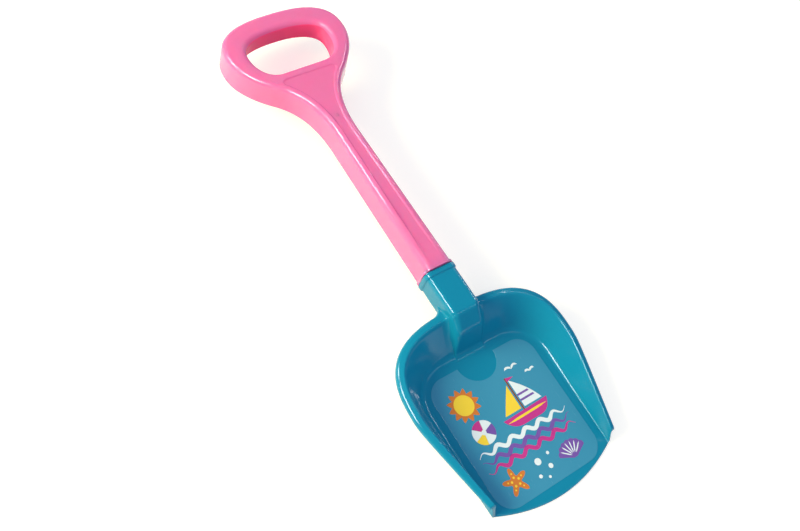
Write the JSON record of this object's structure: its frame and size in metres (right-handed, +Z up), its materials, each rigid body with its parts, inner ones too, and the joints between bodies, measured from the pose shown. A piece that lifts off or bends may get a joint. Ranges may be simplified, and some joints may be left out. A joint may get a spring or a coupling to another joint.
{
  "type": "sand shovel",
  "caption": "Child's sand shovel with a D-grip handle pushed into the socket of a flat-floored scoop, and a printed film on the scoop's floor.",
  "frame": {"origin": "middle of the shovel's outline in plan, at the level of the scoop's underside", "axes": "+X across the shovel, +Y from the tip of the scoop to the grip, +Z up out of the scoop"},
  "size_m": [0.1686, 0.503, 0.0453],
  "materials": {
    "pink_plastic": "gloss",
    "teal_plastic": "gloss",
    "printed_film": "satin"
  },
  "bodies": {
    "scoop": {"scoop": "teal_plastic", "print_film": "printed_film"},
    "handle": {"handle": "pink_plastic"}
  },
  "joints": [
    {"name": "handle_pull", "type": "slide", "parent": "scoop", "child": "handle", "axis": [0, 1, 0], "range_m": [0, 0.04]}
  ]
}
